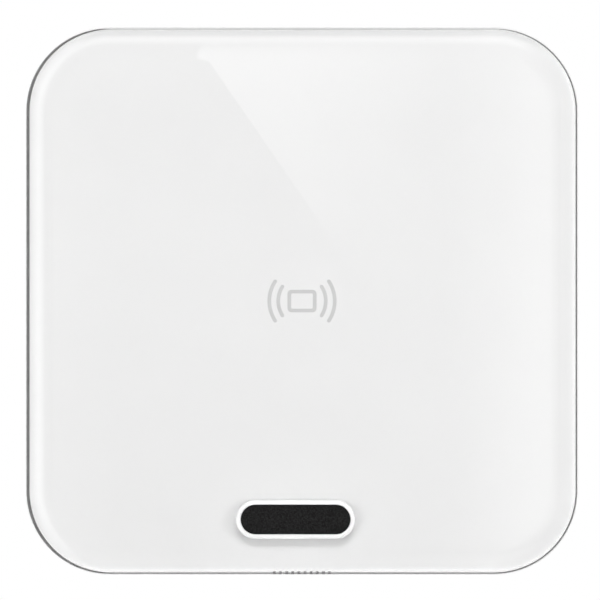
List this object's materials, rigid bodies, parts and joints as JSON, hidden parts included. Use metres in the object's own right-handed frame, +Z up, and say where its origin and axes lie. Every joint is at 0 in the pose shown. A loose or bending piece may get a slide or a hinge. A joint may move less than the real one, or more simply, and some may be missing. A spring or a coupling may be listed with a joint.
{
  "type": "contactless wall reader",
  "caption": "Wall-mounted contactless card reader: rounded-square white glass front with a reader sign and a raised badge, on a frame that hooks over a wall plate.",
  "frame": {"origin": "middle of the wall plate's back face, in the plane of the wall", "axes": "+Y into the wall, so the glass faces -Y; +Z up; +X to the right seen from the front"},
  "size_m": [0.081, 0.0192, 0.0804],
  "materials": {
    "clear_glass": "clear toughened glass, polished edge",
    "white_print": "white back print on film",
    "grey_ink": "light grey printed ink",
    "white_badge": "white satin moulding",
    "black_badge": "fine-grained black",
    "black_tape": "foam bonding tape",
    "white_housing": "white moulding",
    "grey_housing": "grey glass-filled moulding",
    "black_rubber": "soft black rubber",
    "screw_steel": "plated steel",
    "circuit_board": "green solder mask on glass fibre",
    "black_mould": "black moulding",
    "plated_can": "plated metal can",
    "light_lens": "pale resin lens",
    "milky_guide": "milky clear moulding",
    "copper": "bare copper track",
    "ferrite": "dark ferrite sheet",
    "gold_contact": "gold-plated contact",
    "terminal_mould": "dark grey moulding",
    "brass_clamp": "turned brass",
    "red_plunger": "red moulding",
    "dark_steel": "blackened steel"
  },
  "bodies": {
    "wall_mount": {"wall_plate": "grey_housing", "wall_seal": "black_rubber", "cable_grommet": "black_rubber"},
    "front_unit": {"glass_panel": "clear_glass", "decor_film": "white_print", "sign_card": "grey_ink", "sign_wave_inner_left": "grey_ink", "sign_wave_inner_right": "grey_ink", "sign_wave_outer_left": "grey_ink", "sign_wave_outer_right": "grey_ink", "badge_plate": "white_badge", "badge_inlay": "black_badge", "bonding_tape": "black_tape", "front_frame": "white_housing", "rear_cover": "grey_housing", "cover_seal": "black_rubber", "cover_screw_1": "screw_steel", "cover_screw_2": "screw_steel", "cover_screw_3": "screw_steel", "cover_screw_4": "screw_steel", "main_board": "circuit_board", "board_screw_1": "screw_steel", "board_screw_2": "screw_steel", "board_screw_3": "screw_steel", "board_screw_4": "screw_steel", "controller_chip": "black_mould", "reader_chip": "black_mould", "voltage_regulator": "black_mould", "crystal": "plated_can", "sounder": "black_mould", "status_light_1": "light_lens", "status_light_2": "light_lens", "status_light_3": "light_lens", "status_light_4": "light_lens", "light_guide": "milky_guide", "antenna_board": "circuit_board", "antenna_coil": "copper", "ferrite_sheet": "ferrite", "antenna_pin_left": "gold_contact", "antenna_pin_right": "gold_contact", "terminal_block": "terminal_mould", "terminal_screw_1": "brass_clamp", "terminal_screw_2": "brass_clamp", "terminal_screw_3": "brass_clamp", "terminal_screw_4": "brass_clamp", "tamper_switch": "black_mould", "lock_insert": "brass_clamp"},
    "lock_screw": {"lock_screw": "dark_steel"},
    "tamper_plunger": {"tamper_plunger": "red_plunger"}
  },
  "joints": [
    {"name": "front_swing", "type": "hinge", "parent": "wall_mount", "child": "front_unit", "pos_m": [0, -0.0017, 0.0364], "axis": [-1, 0, 0], "range_deg": [0, 15]},
    {"name": "lock_screw_travel", "type": "slide", "parent": "front_unit", "child": "lock_screw", "axis": [0, 0, 1], "range_m": [0, 0.0025]},
    {"name": "tamper_plunger_travel", "type": "slide", "parent": "front_unit", "child": "tamper_plunger", "axis": [0, -1, 0], "range_m": [0, 0.0008], "stiffness_N_per_m": 300, "springref_m": -0.0005}
  ]
}
